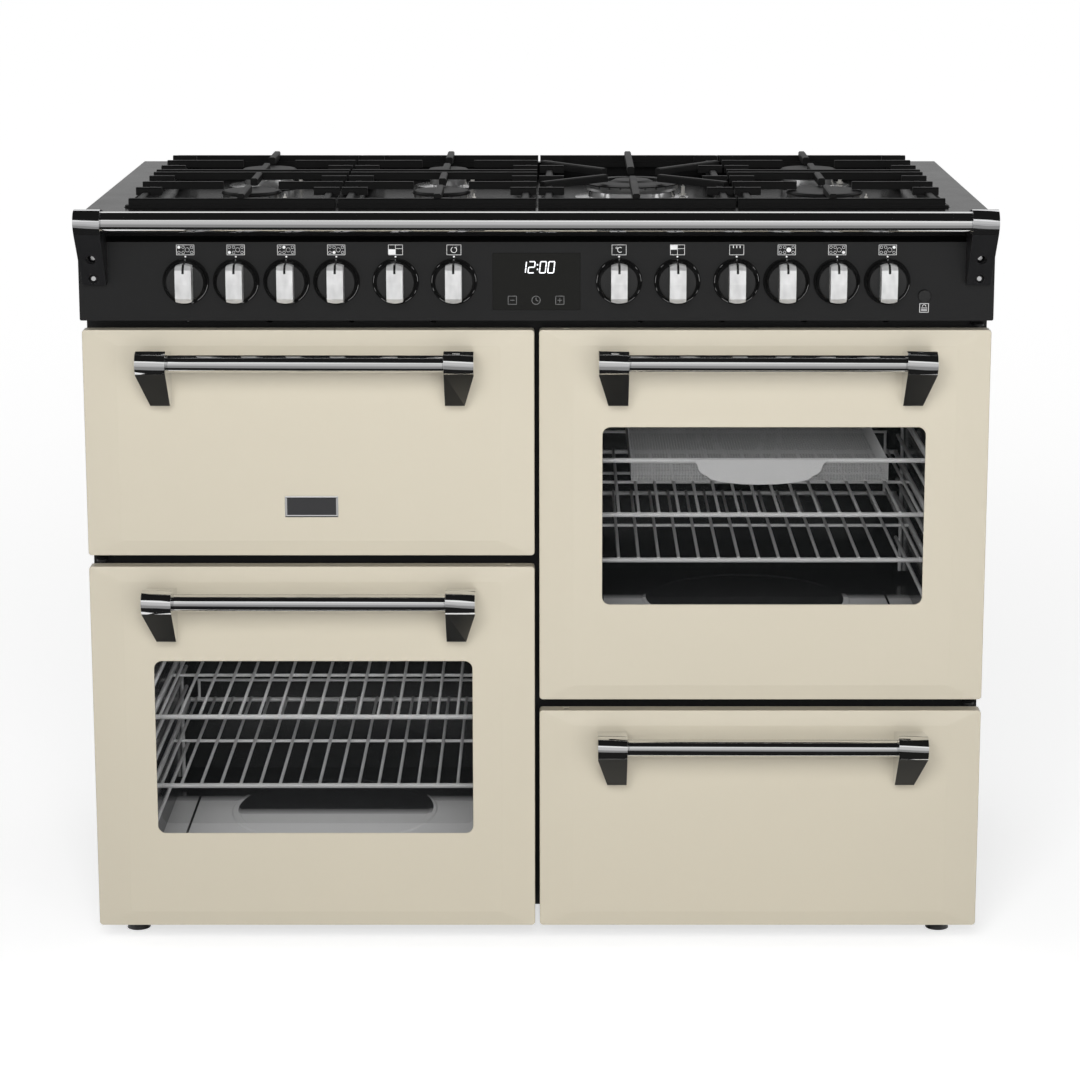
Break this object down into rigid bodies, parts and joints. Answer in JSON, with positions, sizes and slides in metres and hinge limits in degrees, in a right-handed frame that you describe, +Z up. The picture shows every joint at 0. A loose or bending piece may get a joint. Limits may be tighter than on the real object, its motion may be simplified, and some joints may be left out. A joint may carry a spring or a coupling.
{
  "type": "dual fuel range cooker",
  "caption": "Free-standing range cooker with a gas hob, cast pan supports, drop-down grill, side-opening ovens with windows, storage cavity and a front rail.",
  "frame": {"origin": "on the floor under the middle of the whole object's box, handles and rail included", "axes": "+X to the right, +Y to the back, +Z up; the doors face -Y"},
  "size_m": [1.1, 0.665, 0.9415],
  "materials": {
    "charcoal_steel": "satin black paint",
    "galvanised_steel": "zinc coated",
    "oven_enamel": "gloss vitreous enamel, black with fine flecks",
    "plated_wire": "bright plated wire",
    "element_steel": "heat-darkened sheath",
    "timer_glass": "dark glass with a lit display",
    "bezel_plastic": "black moulded plastic",
    "polished_chrome": "polished",
    "bracket_metal": "polished black with chrome nose",
    "hob_enamel": "gloss black vitreous enamel",
    "burner_steel": "polished",
    "burner_aluminium": "satin casting",
    "cap_enamel": "matt black enamel",
    "electrode_ceramic": "white ceramic",
    "tap_brass": "machined",
    "seal_fibre": "woven heat-proof seal",
    "fan_steel": "pressed",
    "cream_enamel": "satin cream enamel",
    "black_enamel": "black enamel",
    "window_glass": "clear toughened glass",
    "cast_iron": "matt black enamelled casting",
    "knob_metal": "brushed grip on a black disc"
  },
  "bodies": {
    "root": {"side_panels": "charcoal_steel", "back_panel": "galvanised_steel", "base_frame": "charcoal_steel", "front_frame": "charcoal_steel", "left_oven_liner": "oven_enamel", "right_oven_liner": "oven_enamel", "grill_liner": "oven_enamel", "storage_liner": "oven_enamel", "shelf_guides": "plated_wire", "oven_shelves": "plated_wire", "fry_basket": "plated_wire", "fan_cover": "oven_enamel", "grill_element": "element_steel", "grill_pan": "oven_enamel", "fascia": "charcoal_steel", "timer_glass": "timer_glass", "knob_bezels": "bezel_plastic", "front_rail": "polished_chrome", "rail_brackets": "bracket_metal", "rail_bolts": "polished_chrome", "hob_panel": "hob_enamel", "burner_bases": "burner_steel", "burner_heads": "burner_aluminium", "burner_caps": "cap_enamel", "electrodes": "electrode_ceramic", "gas_rail": "tap_brass", "door_seals": "seal_fibre"},
    "feet": {"feet": "bezel_plastic"},
    "fan_rotor": {"fan_rotor": "fan_steel"},
    "grill_door": {"grill_door_panel": "cream_enamel", "grill_door_inner": "black_enamel", "grill_door_handle": "polished_chrome"},
    "left_oven_door": {"left_oven_door_panel": "cream_enamel", "left_oven_door_glass": "window_glass", "left_oven_door_inner": "black_enamel", "left_oven_door_handle": "polished_chrome"},
    "right_oven_door": {"right_oven_door_panel": "cream_enamel", "right_oven_door_glass": "window_glass", "right_oven_door_inner": "black_enamel", "right_oven_door_handle": "polished_chrome"},
    "storage_door": {"storage_door_panel": "cream_enamel", "storage_door_inner": "black_enamel", "storage_door_handle": "polished_chrome"},
    "pan_support_1": {"pan_support_1": "cast_iron"},
    "pan_support_2": {"pan_support_2": "cast_iron"},
    "pan_support_3": {"pan_support_3": "cast_iron"},
    "pan_support_4": {"pan_support_4": "cast_iron"},
    "knob_1": {"knob_1": "knob_metal"},
    "knob_2": {"knob_2": "knob_metal"},
    "knob_3": {"knob_3": "knob_metal"},
    "knob_4": {"knob_4": "knob_metal"},
    "knob_5": {"knob_5": "knob_metal"},
    "knob_6": {"knob_6": "knob_metal"},
    "knob_7": {"knob_7": "knob_metal"},
    "knob_8": {"knob_8": "knob_metal"},
    "knob_9": {"knob_9": "knob_metal"},
    "knob_10": {"knob_10": "knob_metal"},
    "knob_11": {"knob_11": "knob_metal"},
    "knob_12": {"knob_12": "knob_metal"},
    "light_button": {"button": "bezel_plastic"}
  },
  "joints": [
    {"name": "grill_door_hinge", "type": "hinge", "parent": "root", "child": "grill_door", "pos_m": [-0.27645, -0.2435, 0.5257], "axis": [1, 0, 0], "range_deg": [0, 90]},
    {"name": "left_oven_door_hinge", "type": "hinge", "parent": "root", "child": "left_oven_door", "pos_m": [-0.5375, -0.2375, 0.2598], "axis": [0, 0, -1], "range_deg": [0, 95]},
    {"name": "right_oven_door_hinge", "type": "hinge", "parent": "root", "child": "right_oven_door", "pos_m": [0.5375, -0.2375, 0.5541], "axis": [0, 0, 1], "range_deg": [0, 95]},
    {"name": "storage_door_hinge", "type": "hinge", "parent": "root", "child": "storage_door", "pos_m": [0.5375, -0.2375, 0.1681], "axis": [0, 0, 1], "range_deg": [0, 95]},
    {"name": "feet_height", "type": "slide", "parent": "root", "child": "feet", "axis": [0, 0, -1], "range_m": [0, 0.015]},
    {"name": "fan_spin", "type": "hinge", "parent": "root", "child": "fan_rotor", "pos_m": [0.27645, 0.2525, 0.5556], "axis": [0, 1, 0], "continuous": true},
    {"name": "light_button_press", "type": "slide", "parent": "root", "child": "light_button", "axis": [0, 1, 0], "range_m": [0, 0.0025], "stiffness_N_per_m": 400},
    {"name": "knob_1_turn", "type": "hinge", "parent": "root", "child": "knob_1", "pos_m": [-0.421, -0.2755, 0.847], "axis": [0, -1, 0], "range_deg": [0, 240]},
    {"name": "knob_2_turn", "type": "hinge", "parent": "root", "child": "knob_2", "pos_m": [-0.3605, -0.2755, 0.847], "axis": [0, -1, 0], "range_deg": [0, 240]},
    {"name": "knob_3_turn", "type": "hinge", "parent": "root", "child": "knob_3", "pos_m": [-0.3, -0.2755, 0.847], "axis": [0, -1, 0], "range_deg": [0, 240]},
    {"name": "knob_4_turn", "type": "hinge", "parent": "root", "child": "knob_4", "pos_m": [-0.24, -0.2755, 0.847], "axis": [0, -1, 0], "range_deg": [0, 240]},
    {"name": "knob_5_turn", "type": "hinge", "parent": "root", "child": "knob_5", "pos_m": [-0.169, -0.2755, 0.847], "axis": [0, 1, 0], "range_deg": [0, 270]},
    {"name": "knob_6_turn", "type": "hinge", "parent": "root", "child": "knob_6", "pos_m": [-0.099, -0.2755, 0.847], "axis": [0, 1, 0], "range_deg": [0, 315]},
    {"name": "knob_7_turn", "type": "hinge", "parent": "root", "child": "knob_7", "pos_m": [0.099, -0.2755, 0.847], "axis": [0, 1, 0], "range_deg": [0, 270]},
    {"name": "knob_8_turn", "type": "hinge", "parent": "root", "child": "knob_8", "pos_m": [0.169, -0.2755, 0.847], "axis": [0, 1, 0], "range_deg": [0, 270]},
    {"name": "knob_9_turn", "type": "hinge", "parent": "root", "child": "knob_9", "pos_m": [0.24, -0.2755, 0.847], "axis": [0, 1, 0], "range_deg": [0, 270]},
    {"name": "knob_10_turn", "type": "hinge", "parent": "root", "child": "knob_10", "pos_m": [0.3, -0.2755, 0.847], "axis": [0, -1, 0], "range_deg": [0, 240]},
    {"name": "knob_11_turn", "type": "hinge", "parent": "root", "child": "knob_11", "pos_m": [0.3605, -0.2755, 0.847], "axis": [0, -1, 0], "range_deg": [0, 240]},
    {"name": "knob_12_turn", "type": "hinge", "parent": "root", "child": "knob_12", "pos_m": [0.421, -0.2755, 0.847], "axis": [0, -1, 0], "range_deg": [0, 240]},
    {"name": "pan_support_1_lift", "type": "slide", "parent": "root", "child": "pan_support_1", "axis": [0, 0, 1], "range_m": [0, 0.09]},
    {"name": "pan_support_2_lift", "type": "slide", "parent": "root", "child": "pan_support_2", "axis": [0, 0, 1], "range_m": [0, 0.09]},
    {"name": "pan_support_3_lift", "type": "slide", "parent": "root", "child": "pan_support_3", "axis": [0, 0, 1], "range_m": [0, 0.09]},
    {"name": "pan_support_4_lift", "type": "slide", "parent": "root", "child": "pan_support_4", "axis": [0, 0, 1], "range_m": [0, 0.09]}
  ]
}
